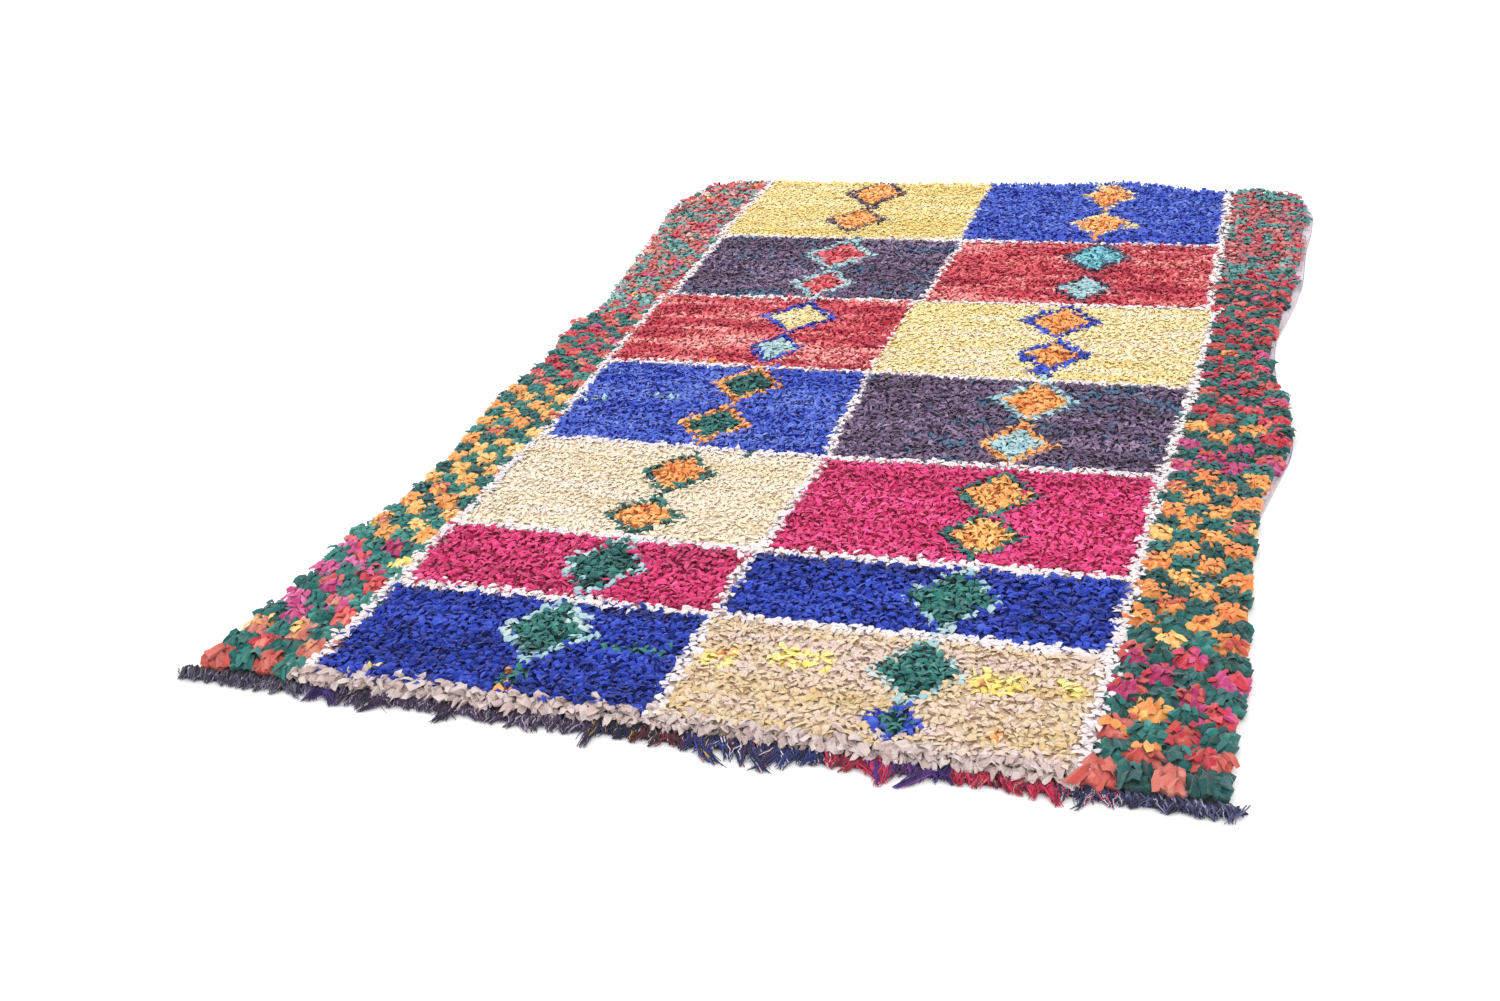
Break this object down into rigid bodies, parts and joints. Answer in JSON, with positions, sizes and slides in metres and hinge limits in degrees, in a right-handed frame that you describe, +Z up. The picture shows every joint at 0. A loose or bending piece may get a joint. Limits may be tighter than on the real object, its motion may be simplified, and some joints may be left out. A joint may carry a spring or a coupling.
{
  "type": "boucherouite rug",
  "caption": "Shaggy rectangular rag rug lying flat, with checkered panels of stacked diamonds, checked side borders, a bare woven selvedge and a short uneven fringe at one end.",
  "frame": {"origin": "middle of the rug's underside, on the surface it lies on", "axes": "+Z up out of the pile, +Y along the rug away from the fringed end, +X across it"},
  "size_m": [1.6322, 2.429, 0.0329],
  "materials": {
    "cotton_rag_pile": "matt cut cotton rag pile in many colours",
    "dark_wool_yarn": "matt spun wool yarn, woven and left as a fringe"
  },
  "bodies": {
    "root": {"rug_pile": "cotton_rag_pile", "fringed_end_band": "dark_wool_yarn"}
  },
  "joints": []
}
